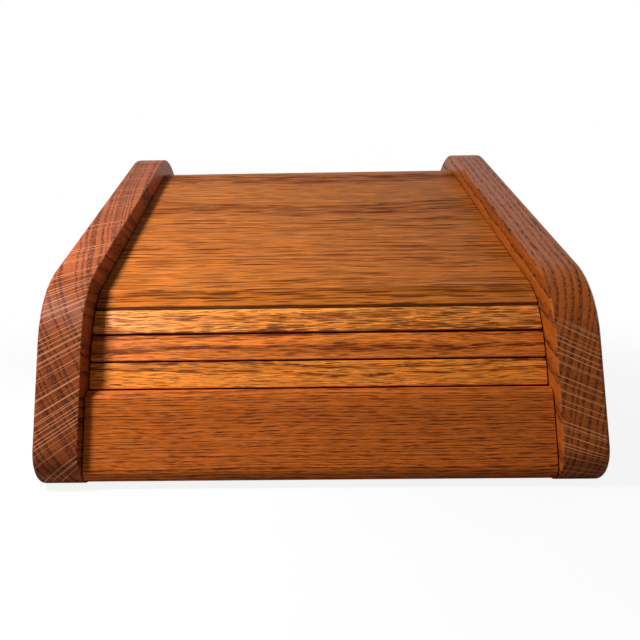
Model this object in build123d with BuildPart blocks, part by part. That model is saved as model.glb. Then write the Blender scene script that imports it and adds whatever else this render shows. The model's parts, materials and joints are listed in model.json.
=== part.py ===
"""Desk letter box in solid oak with a flexible lid that slides back.

Two thick side boards carry everything. Their rims lean back at the front, turn over a round bend,
rise along a slope and turn down again at the back. The lid lies below the rims: a wide panel with
tongues in two straight grooves, three slats round the bend, and a lead rail that is the handle.
Bead and socket joints link them. Millimetres, degrees, +Z up, front towards -Y, X across the box.
"""

from build123d import *
import os
from math import asin, cos, degrees, radians, sin, sqrt, tan

os.makedirs("parts", exist_ok=True)

# --- Case -------------------------------------------------------------------------------------
box_width = 292.1  # over the two sides
case_depth = 323.0  # over the rounded foot of the rims and their back edge
side_thickness = 23.8
front_lean = 19.0  # front rim, back from the vertical
lid_slope = 20.0  # slope rim, up from the horizontal
front_run = 107.0  # front rim, from the foot to the sharp corner of the bend
bend_radius = 55.0
back_radius = 60.0  # top back corner of the rim
foot_radius = 18.0  # bottom front corner
heel_radius = 8.0  # bottom back corner
rim_round = 2.4  # rounding of the side boards' outer edges
rim_ease = 0.8  # inner edges of the side boards, nearly sharp
housing_depth = 6.0  # grooves in the sides that hold the base and the back
board_lift = 3.0  # base and back above the surface the box stands on
base_thickness = 9.5
back_thickness = 9.5

# --- Lid --------------------------------------------------------------------------------------
lid_recess = 12.5  # slats and panel below the rim
lid_side_gap = 0.8  # between the lid's ends and the inner face of a side
slat_pitch = 14.7  # from one joint to the next
slat_thickness = 8.0
slat_bends = (10.0, 5.5, 1.5)  # closed lid: slats 1 to 2, 2 to 3, 3 to lead rail
pivot_depth = 3.0  # joint centres below the slats' faces
rail_run = 57.3  # lead rail's joint above the foot, along the front rim
rail_proud = 6.0  # lead rail's face in front of the slats
rail_top_round = 5.0
rail_foot_round = 7.0
rail_lift = 3.0  # lead rail's foot above the surface the box stands on
base_front_gap = 1.2  # between the closed lead rail and the base
panel_thickness = 9.5
panel_lip_height = 2.6  # panel's front lip above its joint centre
panel_bevel = 11.7  # width of the bevel along the panel's front edge
panel_back_run = 18.0  # panel's back edge beyond the centre of the back corner
edge_ease = 0.6  # eased front edges of panel, slats and rail
lid_travel = 95.0

# --- Bead and socket joints between the lid's pieces ------------------------------------------
bead_radius = 1.9
socket_clearance = 0.25
lip_reach = 1.2  # socket lips beyond the joint centre
joint_gap = 0.7  # between lips and shoulder when the lid is flat
neck_depth = 0.5  # neck of a bead behind the joint centre
neck_height = 1.1  # and in front of it
neck_length = 0.4  # from the shoulder to the relief
relief_angle = 35.0  # back of a slat's shoulder, cut away for the bend

# --- Tongues, grooves and stops ---------------------------------------------------------------
tongue_run = 88.0  # along the panel's end
tongue_length = 5.5  # out of the panel's end
tongue_thickness = 4.8
tongue_setback = 1.5  # front end of a tongue behind the bevel
groove_clearance = 0.3  # above and below a tongue
groove_end_gap = 1.0  # round the tongue in its groove, beyond its travel
cap_clearance = 0.6  # between the panel and the rear cap below it
cap_front_run = 6.0  # cap's front face beyond the centre of the back corner
cap_front_height = 14.0
dowel_radius = 4.0
dowel_length = 30.0
dowel_depth = 14.0  # share of a dowel inside the side board
dowel_inset = 13.0  # dowels below the cap's round back
dowel_angles = (28.0, 68.0)  # about the centre of the back corner, up from the level
stop_size = (16.0, 14.0, 10.0)  # across the box, along the lid, down from the panel
stop_inset = 28.0  # stop block's middle from the inner face of a side
stop_gap = 0.5  # left between stop block and cap when the lid is open
screw_head_radius = 3.4
screw_head_height = 2.0
screw_radius = 1.7
screw_bite = 5.5  # screw's length inside the panel

# --- Places worked out from the dimensions ----------------------------------------------------
inner_width = box_width - 2 * side_thickness
lid_length = inner_width - 2 * lid_side_gap
lean = radians(front_lean)
rise = radians(lid_slope)
up_front = Vector(0, sin(lean), cos(lean))
up_slope = Vector(0, cos(rise), sin(rise))
in_from_front = Vector(0, cos(lean), -sin(lean))
in_from_slope = Vector(0, sin(rise), -cos(rise))
back_y = case_depth / 2
foot_overhang = foot_radius / tan((radians(90) - lean) / 2) - foot_radius
front_foot = Vector(0, -case_depth / 2 - foot_overhang, 0)  # sharp corner, before its rounding
bend_corner = front_foot + up_front * front_run
back_corner = bend_corner + up_slope * ((back_y - bend_corner.Y) / cos(rise))
back_centre_y = back_y - back_radius
back_centre = Vector(
    0,
    back_centre_y,
    bend_corner.Z + ((back_centre_y - bend_corner.Y) * sin(rise) - back_radius) / cos(rise),
)


def up_at(angle):
    """Direction up a lid piece that leans back by this angle from the vertical."""
    return Vector(0, sin(radians(angle)), cos(radians(angle)))


def lid_plane(pivot, angle, start_x):
    """Section plane of a lid piece: u runs down it from its pivot, v out of its face."""
    return Plane(origin=(start_x, pivot.Y, pivot.Z), x_dir=up_at(angle) * -1, z_dir=(-1, 0, 0))


def save(piece, name):
    """Label a finished piece and write its STEP file."""
    piece.part.label = name
    export_step(piece.part, f"parts/{name}.step")


# Leans of rail, slats 3, 2, 1 and their upper joints, from the rail upwards
rail_pivot = front_foot + up_front * rail_run + in_from_front * (lid_recess + pivot_depth)
slat_leans = []
slat_pivots = []
slat_foot = rail_pivot
slat_lean = front_lean
for bend in reversed(slat_bends):
    slat_lean = slat_lean + bend
    slat_foot = slat_foot + up_at(slat_lean) * slat_pitch
    slat_leans.insert(0, slat_lean)
    slat_pivots.insert(0, slat_foot)
panel_lean = 90 - lid_slope
panel_pivot = slat_pivots[0]
panel_bend = panel_lean - slat_leans[0]

# Heights in the panel's section, above its pivot, and runs up the slope from its pivot
panel_face = (panel_pivot - bend_corner).dot(in_from_slope) - lid_recess
panel_under = panel_face - panel_thickness
centre_run = (back_centre - panel_pivot).dot(up_slope)
lid_back_radius = back_radius - lid_recess
centre_height = panel_face - lid_back_radius
panel_end_run = centre_run + panel_back_run
panel_end_height = centre_height + sqrt(lid_back_radius**2 - panel_back_run**2)
tongue_front_run = panel_bevel - lip_reach + tongue_setback
socket_radius = bead_radius + socket_clearance
shoulder = lip_reach + joint_gap
slat_under = pivot_depth - slat_thickness
cap_top = panel_under - cap_clearance
cap_arc_run = sqrt(lid_back_radius**2 - (cap_top - centre_height) ** 2)


def panel_point(run, height):
    """Point in the panel's section: a run up the slope from its pivot, and a height above it."""
    return panel_pivot + up_slope * run - in_from_slope * height


def shoulder_points(face):
    """Upper end of a slat or rail with its face at this height: relief, neck and shoulder."""
    relief = (-slat_under - neck_depth) * tan(radians(relief_angle))
    return [
        (shoulder + neck_length + relief, slat_under),
        (shoulder + neck_length, -neck_depth),
        (0, -neck_depth),
        (0, neck_height),
        (shoulder, neck_height),
        (shoulder, face),
    ]


# --- Side boards ------------------------------------------------------------------------------
inner_face = inner_width / 2
base_back_y = back_y - lid_recess - back_thickness
base_front_recess = lid_recess + slat_thickness + base_front_gap
board_top = board_lift + base_thickness
base_outline = [
    (front_foot.Y + base_front_recess / cos(lean) + board_lift * tan(lean), board_lift),
    (front_foot.Y + base_front_recess / cos(lean) + board_top * tan(lean), board_top),
    (base_back_y, board_top),
    (base_back_y, board_lift),
]
back_height = back_centre.Z - board_lift
dowel_ring = lid_back_radius - dowel_inset
dowel_places = [
    (
        back_centre.Y + dowel_ring * cos(radians(angle)),
        back_centre.Z + dowel_ring * sin(radians(angle)),
    )
    for angle in dowel_angles
]
rim_corners = [
    (front_foot, foot_radius),
    (bend_corner, bend_radius),
    (back_corner, back_radius),
    (Vector(0, back_y, 0), heel_radius),
]

with BuildPart() as left_side:
    with BuildSketch(Plane.YZ.offset(-box_width / 2)) as outline:
        with BuildLine():
            Polyline(*((corner.Y, corner.Z) for corner, radius in rim_corners), close=True)
        make_face()
        for corner, radius in rim_corners:
            nearest = outline.vertices().sort_by_distance((corner.Y, corner.Z))[0]
            fillet(nearest, radius)
    extrude(amount=side_thickness)
    fillet(left_side.faces().sort_by(Axis.X)[0].edges(), rim_round)
    fillet(left_side.faces().sort_by(Axis.X)[-1].edges(), rim_ease)
    # Groove for the panel's tongue, stopped at both ends
    with BuildSketch(lid_plane(panel_pivot, panel_lean, -inner_face)):
        with Locations((groove_end_gap - tongue_front_run, panel_under - groove_clearance)):
            Rectangle(
                tongue_run + lid_travel + 2 * groove_end_gap,
                tongue_thickness + 2 * groove_clearance,
                align=(Align.MAX, Align.MIN),
            )
    extrude(amount=tongue_length + groove_end_gap, mode=Mode.SUBTRACT)
    # Housings for the base and the back
    with BuildSketch(Plane.YZ.offset(-inner_face)):
        with BuildLine():
            Polyline(*base_outline, close=True)
        make_face()
        with Locations((base_back_y, board_lift)):
            Rectangle(back_thickness, back_height, align=(Align.MIN, Align.MIN))
    extrude(amount=-housing_depth, mode=Mode.SUBTRACT)
    # Dowel holes for the rear cap
    with BuildSketch(Plane.YZ.offset(-inner_face)):
        with Locations(*dowel_places):
            Circle(dowel_radius)
    extrude(amount=-dowel_depth, mode=Mode.SUBTRACT)
save(left_side, "left_side")

with BuildPart() as right_side:
    mirror(left_side.part, about=Plane.YZ)
save(right_side, "right_side")

# --- Base, back and rear cap ------------------------------------------------------------------
housed_length = inner_width + 2 * housing_depth

with BuildPart() as base_board:
    with BuildSketch(Plane.YZ.offset(-housed_length / 2)):
        with BuildLine():
            Polyline(*base_outline, close=True)
        make_face()
    extrude(amount=housed_length)
save(base_board, "base_board")

with BuildPart() as back_board:
    with BuildSketch(Plane.YZ.offset(-housed_length / 2)):
        with Locations((base_back_y, board_lift)):
            Rectangle(back_thickness, back_height, align=(Align.MIN, Align.MIN))
    extrude(amount=housed_length)
save(back_board, "back_board")

# The rear cap closes the box below the panel's back edge. Its top lies just under the panel, and
# its back is round about the same centre as the rims.
cap_top_front = panel_point(centre_run + cap_front_run, cap_top)
cap_low_front = panel_point(centre_run + cap_front_run, cap_top - cap_front_height)
cap_arc_start = panel_point(centre_run + cap_arc_run, cap_top)
cap_arc_angle = degrees(asin((cap_arc_start.Z - back_centre.Z) / lid_back_radius))

with BuildPart() as rear_cap:
    with BuildSketch(Plane.YZ.offset(-inner_face)):
        with BuildLine():
            round_back = CenterArc(
                (back_centre.Y, back_centre.Z), lid_back_radius, 0, cap_arc_angle
            )
            Polyline(
                round_back @ 1,
                (cap_top_front.Y, cap_top_front.Z),
                (cap_low_front.Y, cap_low_front.Z),
                (base_back_y, back_centre.Z),
                round_back @ 0,
            )
        make_face()
    extrude(amount=inner_width)
    with BuildSketch(Plane.YZ.offset(-inner_face)):
        with Locations(*dowel_places):
            Circle(dowel_radius)
    extrude(amount=dowel_length - dowel_depth, mode=Mode.SUBTRACT)
    with BuildSketch(Plane.YZ.offset(inner_face)):
        with Locations(*dowel_places):
            Circle(dowel_radius)
    extrude(amount=dowel_depth - dowel_length, mode=Mode.SUBTRACT)
save(rear_cap, "rear_cap")

with BuildPart() as cap_dowels:
    with BuildSketch(Plane.YZ.offset(-inner_face - dowel_depth)):
        with Locations(*dowel_places):
            Circle(dowel_radius)
    extrude(amount=dowel_length)
    mirror(about=Plane.YZ)
save(cap_dowels, "cap_dowels")

# --- Lid panel --------------------------------------------------------------------------------
stop_across, stop_along, stop_down = stop_size
stop_back_run = centre_run + cap_front_run - lid_travel - stop_gap
stop_middle = panel_point(stop_back_run - stop_along / 2, panel_under - stop_down)
stop_places = [(stop_inset - inner_face, 0), (inner_face - stop_inset, 0)]
stop_underside = Plane(origin=stop_middle, x_dir=(1, 0, 0), z_dir=in_from_slope * -1)
half_back_angle = asin(panel_back_run / lid_back_radius) / 2

with BuildPart() as lid_panel:
    with BuildSketch(lid_plane(panel_pivot, panel_lean, lid_length / 2)) as panel_section:
        with BuildLine():
            back_round = ThreePointArc(
                (-centre_run, panel_face),
                (
                    -centre_run - lid_back_radius * sin(half_back_angle),
                    centre_height + lid_back_radius * cos(half_back_angle),
                ),
                (-centre_run - panel_back_run, panel_end_height),
            )
            Polyline(
                back_round @ 1,
                (-centre_run - panel_back_run, panel_under),
                (lip_reach, panel_under),
                (lip_reach, panel_lip_height),
                (lip_reach - panel_bevel, panel_face),
                back_round @ 0,
            )
        make_face()
        lip_corner = panel_section.vertices().sort_by_distance((lip_reach, panel_lip_height))[0]
        fillet(lip_corner, edge_ease)
        Circle(socket_radius, mode=Mode.SUBTRACT)
    extrude(amount=lid_length)
    with BuildSketch(lid_plane(panel_pivot, panel_lean, inner_face + tongue_length)):
        with Locations((-tongue_front_run, panel_under)):
            Rectangle(tongue_run, tongue_thickness, align=(Align.MAX, Align.MIN))
    extrude(amount=2 * (inner_face + tongue_length))
    with BuildSketch(stop_underside.offset(stop_down)):
        with Locations(*stop_places):
            Circle(screw_radius)
    extrude(amount=screw_bite, mode=Mode.SUBTRACT)
save(lid_panel, "lid_panel")

# --- Slats ------------------------------------------------------------------------------------
for number, (pivot, angle) in enumerate(zip(slat_pivots, slat_leans), start=1):
    with BuildPart() as slat:
        with BuildSketch(lid_plane(pivot, angle, lid_length / 2)) as slat_section:
            with BuildLine():
                Polyline(
                    *shoulder_points(pivot_depth),
                    (slat_pitch + lip_reach, pivot_depth),
                    (slat_pitch + lip_reach, slat_under),
                    close=True,
                )
            make_face()
            fillet(slat_section.vertices().group_by(Axis.Y)[-1], edge_ease)
            Circle(bead_radius)
            with Locations((slat_pitch, 0)):
                Circle(socket_radius, mode=Mode.SUBTRACT)
        extrude(amount=lid_length)
    save(slat, f"slat_{number}")

# --- Lead rail --------------------------------------------------------------------------------
rail_face = pivot_depth + rail_proud


def rail_foot(height):
    """How far down the rail its level foot lies, at this height of its section."""
    return (rail_pivot.Z - rail_lift + height * sin(lean)) / cos(lean)


with BuildPart() as lead_rail:
    with BuildSketch(lid_plane(rail_pivot, front_lean, lid_length / 2)) as rail_section:
        with BuildLine():
            Polyline(
                *shoulder_points(rail_face),
                (rail_foot(rail_face), rail_face),
                (rail_foot(slat_under), slat_under),
                close=True,
            )
        make_face()
        top_corner = rail_section.vertices().sort_by_distance((shoulder, rail_face))[0]
        fillet(top_corner, rail_top_round)
        foot_corner = rail_section.vertices().sort_by_distance((rail_foot(rail_face), rail_face))[0]
        fillet(foot_corner, rail_foot_round)
        Circle(bead_radius)
    extrude(amount=lid_length)
save(lead_rail, "lead_rail")

# --- Stop blocks under the panel and their screws ---------------------------------------------
for side, (place, middle) in zip(("left", "right"), stop_places):
    with BuildPart() as stop_block:
        with BuildSketch(stop_underside):
            with Locations((place, middle)):
                Rectangle(stop_across, stop_along)
        extrude(amount=stop_down)
        with BuildSketch(stop_underside):
            with Locations((place, middle)):
                Circle(screw_head_radius)
        extrude(amount=screw_head_height, mode=Mode.SUBTRACT)
        with BuildSketch(stop_underside):
            with Locations((place, middle)):
                Circle(screw_radius)
        extrude(amount=stop_down, mode=Mode.SUBTRACT)
    save(stop_block, f"stop_block_{side}")

with BuildPart() as stop_screws:
    with BuildSketch(stop_underside):
        with Locations(*stop_places):
            Circle(screw_head_radius)
    extrude(amount=screw_head_height)
    with BuildSketch(stop_underside):
        with Locations(*stop_places):
            Circle(screw_radius)
    extrude(amount=stop_down + screw_bite)
save(stop_screws, "stop_screws")
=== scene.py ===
"""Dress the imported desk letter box: stained red oak, beech dowels and steel screws on a pale floor.

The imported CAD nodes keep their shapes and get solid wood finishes, so rings, pores and rays run on
from face to face as they do in a board. Lengths in the finishes are in millimetres, and meshes are
in metres in the frame of the CAD: X across the box, Y from front to back, Z up.
"""

import json
import logging
import math
from collections.abc import Callable
from dataclasses import dataclass
from enum import Enum
from functools import partial

import bpy
from mathutils import Matrix, Vector


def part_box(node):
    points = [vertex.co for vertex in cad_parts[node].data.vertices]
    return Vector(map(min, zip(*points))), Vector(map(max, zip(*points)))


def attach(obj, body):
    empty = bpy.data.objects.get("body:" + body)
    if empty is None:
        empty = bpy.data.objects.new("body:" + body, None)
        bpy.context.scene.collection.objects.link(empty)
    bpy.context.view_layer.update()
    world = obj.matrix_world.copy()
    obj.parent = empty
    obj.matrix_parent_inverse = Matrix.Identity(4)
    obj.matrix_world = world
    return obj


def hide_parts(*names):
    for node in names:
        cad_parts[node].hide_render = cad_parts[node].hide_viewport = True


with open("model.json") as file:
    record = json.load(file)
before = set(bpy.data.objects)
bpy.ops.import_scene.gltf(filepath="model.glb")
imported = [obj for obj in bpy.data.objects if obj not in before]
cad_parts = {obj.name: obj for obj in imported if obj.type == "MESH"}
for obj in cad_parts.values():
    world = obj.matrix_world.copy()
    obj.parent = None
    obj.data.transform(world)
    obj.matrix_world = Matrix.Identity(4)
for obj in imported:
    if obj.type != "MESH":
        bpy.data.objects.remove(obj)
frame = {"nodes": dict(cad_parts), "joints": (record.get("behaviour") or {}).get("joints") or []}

LOG = logging.getLogger("letter_box")
MM = 0.001
PER_METRE = 1 / MM  # millimetres in a metre
SENSOR_MM = 36.0
WHITE = (1.0, 1.0, 1.0, 1.0)
SOCKETS = {
    float: "NodeSocketFloat",
    tuple: "NodeSocketVector",
    bpy.types.Object: "NodeSocketObject",
    bpy.types.Material: "NodeSocketMaterial",
}
Node = bpy.types.Node
Outputs = bpy.types.NodeOutputs
Adder = Callable[..., Node]
Pair = tuple[float, float]
Triple = tuple[float, float, float]


class Grain(Enum):
    """Direction in which the fibres of a board run."""

    DEPTH = "front to back"
    WIDTH = "side to side"


def linear(hex_colour: str) -> tuple[float, float, float, float]:
    """Turn an sRGB hex colour into linear red, green, blue and alpha.

    Args:
        hex_colour: six hexadecimal digits after a hash sign.

    Returns:
        The four linear channels, alpha one.
    """
    parts = [int(hex_colour[i : i + 2], 16) / 255 for i in (1, 3, 5)]
    curve = [c / 12.92 if c <= 0.04045 else ((c + 0.055) / 1.055) ** 2.4 for c in parts]
    return (*curve, 1.0)


def add_node(tree: bpy.types.NodeTree, kind: str, *values: object, **settings: object) -> Node:
    """Add one node with its settings, values and links.

    Args:
        tree: the tree that gets the node.
        kind: the node's type name in Blender.
        values: value or linked output for each input in order, or a dictionary of them by name or
            index. A node stands for its first output, and a list holds several for one input. In
            order, a Map Range node has its value, the two ends of the range it comes from, and the
            two it goes to.
        settings: other properties of the node.

    Returns:
        The new node.
    """
    node = tree.nodes.new(kind)
    for name, value in settings.items():
        setattr(node, name, value)
    inputs = values[0] if values and isinstance(values[0], dict) else dict(enumerate(values))
    for key, given in inputs.items():
        for value in given if isinstance(given, list) else [given]:
            if isinstance(value, Node):
                value = value.outputs[0]
            if isinstance(value, bpy.types.NodeSocket):
                tree.links.new(value, node.inputs[key])
            else:
                node.inputs[key].default_value = value
    return node


def start_material(name: str) -> tuple[bpy.types.Material, Adder]:
    """Make an empty material.

    Args:
        name: its name.

    Returns:
        The material, and the function that adds nodes to it.
    """
    material = bpy.data.materials.new(name)
    material.use_nodes = True
    material.node_tree.nodes.clear()
    return material, partial(add_node, material.node_tree)


def put_in_scene(name: str, data: bpy.types.ID) -> bpy.types.Object:
    """Make an object and put it into the scene.

    Args:
        name: its name.
        data: its mesh, curve, lamp or camera.

    Returns:
        The new object.
    """
    item = bpy.data.objects.new(name, data)
    bpy.context.scene.collection.objects.link(item)
    return item


def pivot(body: str) -> Triple:
    """Find the place of the joint on which a body turns.

    Args:
        body: the body's name.

    Returns:
        The place, in metres.
    """
    return tuple(next(joint["pos_m"] for joint in frame["joints"] if joint["child"] == body))


@dataclass(frozen=True)
class OakFigure:
    """Node group with the inner pattern of red oak: rings, pores, rays and fibres.

    Place is a point in the log, in millimetres, with the heart along its first axis. A size of three
    numbers is a length along the log and two across it.
    """

    name: str = "oak_figure"
    slow_bend: Triple = (170.0, 45.0, 45.0)
    quick_bend: Triple = (26.0, 8.0, 8.0)
    quick_sway: float = 1.6
    ring_change: float = 0.45  # how fast the ring width changes, per ring
    spring_end: Pair = (0.14, 0.58)  # where the spring wood fades, in shares of a ring
    spring_bore: float = 0.26  # how much wider pores are in it, as a share of their spacing
    pore_edge: Pair = (-0.03, 0.06)  # edge of a pore, in shares of the pores' spacing
    ray_edge: Pair = (0.115, 0.045)  # edge of a ray, in shares of the rays' spacing
    ray_parting: float = 40.0  # keeps the runs of neighbouring rays from being alike
    ray_there: Pair = (0.30, 0.55)  # noise levels at which a ray starts
    bold_there: Pair = (0.55, 0.75)  # chance levels at which a ray counts as bold
    fibre_roughness: float = 0.72
    streak_size: Triple = (240.0, 6.5, 6.5)

    def _bend(self, add: Adder, given: Outputs) -> tuple[Node, Node]:
        """Add the nodes that bend the trunk: slow bends make the arches, small ones wavy fibres.

        Args:
            add: adds nodes to the group.
            given: the group's inputs.

        Returns:
            The place after the slow bends, and after both.
        """
        slow = add("ShaderNodeVectorMath", given["Place"], self.slow_bend, operation="DIVIDE")
        bend = add("ShaderNodeTexNoise", {"Vector": slow, "Scale": 1.0, "Detail": 2.0}).outputs["Color"]
        middle = add("ShaderNodeVectorMath", bend, (0.5, 0.5, 0.5), operation="SUBTRACT")
        bent = add(
            "ShaderNodeVectorMath", middle, given["Sway"], given["Place"], operation="MULTIPLY_ADD"
        )
        quick = add("ShaderNodeVectorMath", bent, self.quick_bend, operation="DIVIDE")
        ripple = add("ShaderNodeTexNoise", {"Vector": quick, "Scale": 1.0, "Detail": 1.0})
        wave, sway = ripple.outputs["Color"], (0.0, self.quick_sway, self.quick_sway)
        return bent, add("ShaderNodeVectorMath", wave, sway, bent, operation="MULTIPLY_ADD")

    def _spring(self, add: Adder, given: Outputs, place: Node) -> Node:
        """Add the nodes of the year rings, which lie about the heart and differ in width.

        Args:
            add: adds nodes to the group.
            given: the group's inputs.
            place: the place in the bent trunk.

        Returns:
            The node whose value is one in spring wood and zero in summer wood.
        """
        across = add("ShaderNodeVectorMath", place, (0.0, 1.0, 1.0), operation="MULTIPLY")
        radius = add("ShaderNodeVectorMath", across, operation="LENGTH").outputs["Value"]
        turns = add("ShaderNodeMath", radius, given["Ring Width"], operation="DIVIDE")
        change = {"W": turns, "Scale": self.ring_change, "Detail": 1.0}
        uneven = add("ShaderNodeTexNoise", change, noise_dimensions="1D").outputs["Fac"]
        ring = add("ShaderNodeMath", uneven, given["Uneven"], turns, operation="MULTIPLY_ADD")
        share = add("ShaderNodeMath", ring, operation="FRACT")
        early, late = self.spring_end
        return add("ShaderNodeMapRange", share, early, late, 1.0, 0.0, interpolation_type="SMOOTHSTEP")

    def _pore(self, add: Adder, given: Outputs, place: Node, spring: Node) -> Node:
        """Add the nodes of the pores, long cells that are wide in spring and small in summer wood.

        Args:
            add: adds nodes to the group.
            given: the group's inputs.
            place: the place in the bent trunk.
            spring: one in spring wood.

        Returns:
            The node whose value is one inside a pore.
        """
        cell = add("ShaderNodeVectorMath", place, given["Pore Size"], operation="DIVIDE")
        cells = add("ShaderNodeTexVoronoi", {"Vector": cell, "Scale": 1.0}).outputs["Distance"]
        bore = add(
            "ShaderNodeMath", spring, self.spring_bore, given["Summer Bore"], operation="MULTIPLY_ADD"
        )
        inside = add("ShaderNodeMath", bore, cells, operation="SUBTRACT")
        out, full = self.pore_edge
        return add("ShaderNodeMapRange", inside, out, full, interpolation_type="SMOOTHSTEP")

    def _rays(self, add: Adder, given: Outputs) -> tuple[Node, Node]:
        """Add the nodes of the rays, thin upright sheets of limited run straight out from the heart.

        Args:
            add: adds nodes to the group.
            given: the group's inputs.

        Returns:
            The node whose value is one inside a ray, and the one for the bold rays alone.
        """
        parts = add("ShaderNodeSeparateXYZ", given["Place"]).outputs
        angle = add("ShaderNodeMath", parts["Z"], parts["Y"], operation="ARCTAN2")
        per_radian = add("ShaderNodeMath", given["Heart Distance"], given["Ray Gap"], operation="DIVIDE")
        sheet = add("ShaderNodeMath", angle, per_radian, operation="MULTIPLY")
        sheets = add("ShaderNodeTexVoronoi", {"W": sheet, "Scale": 1.0}, voronoi_dimensions="1D").outputs
        along = add("ShaderNodeMath", parts["X"], given["Ray Run"], operation="DIVIDE")
        parting = (self.ray_parting,) * 3
        apart = add("ShaderNodeVectorMath", sheets["Color"], parting, operation="MULTIPLY")
        row = add("ShaderNodeSeparateXYZ", apart).outputs
        cell = add("ShaderNodeCombineXYZ", {"X": along, "Y": row["X"], "Z": row["Y"]})
        run = add("ShaderNodeTexNoise", {"Vector": cell, "Scale": 1.0, "Detail": 0.0}).outputs["Fac"]
        line, there = (
            add("ShaderNodeMapRange", value, out, full, interpolation_type="SMOOTHSTEP")
            for value, (out, full) in ((sheets["Distance"], self.ray_edge), (run, self.ray_there))
        )
        ray = add("ShaderNodeMath", line, there, operation="MULTIPLY")
        chance = add("ShaderNodeSeparateColor", sheets["Color"]).outputs["Blue"]
        rare, sure = self.bold_there
        bold = add("ShaderNodeMapRange", chance, rare, sure)
        return ray, add("ShaderNodeMath", ray, bold, operation="MULTIPLY")

    def build(self) -> bpy.types.NodeTree:
        """Make the group once.

        Returns:
            The group, the same one for every finish.
        """
        if self.name in bpy.data.node_groups:
            return bpy.data.node_groups[self.name]
        tree = bpy.data.node_groups.new(self.name, "ShaderNodeTree")
        sizes = ("Place", "Sway", "Pore Size", "Fibre Size")
        numbers = ("Ring Width", "Uneven", "Summer Bore", "Ray Gap", "Ray Run", "Heart Distance")
        results = ("Spring", "Pore", "Ray", "Bold Ray", "Fibre", "Streak")
        for names, way, kind in (
            (sizes, "INPUT", tuple), (numbers, "INPUT", float), (results, "OUTPUT", float)
        ):
            for name in names:
                tree.interface.new_socket(name, in_out=way, socket_type=SOCKETS[kind])
        add = partial(add_node, tree)
        given = add("NodeGroupInput").outputs
        bent, place = self._bend(add, given)
        spring = self._spring(add, given, place)
        pore = self._pore(add, given, place, spring)
        ray, bold_ray = self._rays(add, given)
        # Fine fibres, and slow streaks where the stain went in deeper
        thread = add("ShaderNodeVectorMath", place, given["Fibre Size"], operation="DIVIDE")
        rough = {"Vector": thread, "Scale": 1.0, "Detail": 4.0, "Roughness": self.fibre_roughness}
        band = add("ShaderNodeVectorMath", bent, self.streak_size, operation="DIVIDE")
        soft = {"Vector": band, "Scale": 1.0, "Detail": 3.0}
        fibre, streak = (add("ShaderNodeTexNoise", noise).outputs["Fac"] for noise in (rough, soft))
        add("NodeGroupOutput", spring, pore, ray, bold_ray, fibre, streak)
        return tree


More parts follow.
